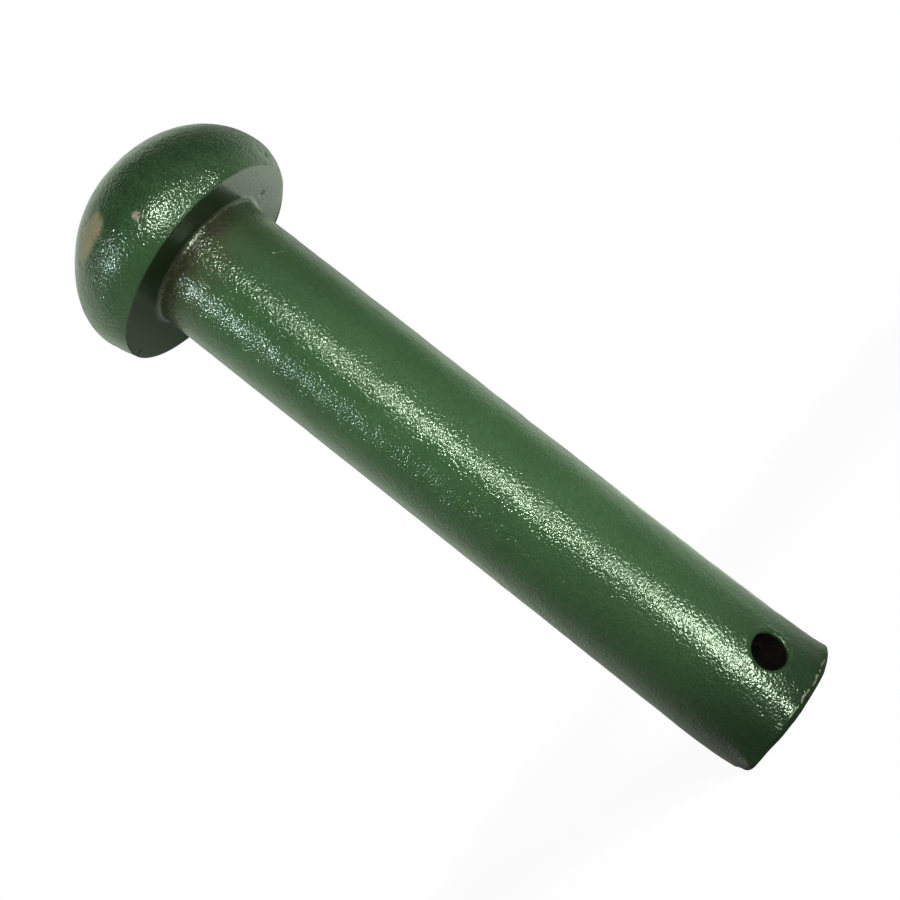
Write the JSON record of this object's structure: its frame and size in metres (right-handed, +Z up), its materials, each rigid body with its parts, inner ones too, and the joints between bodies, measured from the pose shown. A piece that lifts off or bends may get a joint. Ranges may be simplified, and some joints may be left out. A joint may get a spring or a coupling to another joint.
{
  "type": "domed-head pin",
  "caption": "Solid painted steel pin with a domed forged head, a plain round shank and a cross hole for a split pin near its free end.",
  "frame": {"origin": "centre of the flat free end, which the pin stands on", "axes": "+Z up the shank towards the head, Y along the cross hole"},
  "size_m": [0.0434, 0.0434, 0.146],
  "materials": {
    "green_paint": "semi-gloss dark green sprayed paint with orange peel, worn at the edges"
  },
  "bodies": {
    "root": {"headed_pin": "green_paint"}
  },
  "joints": []
}
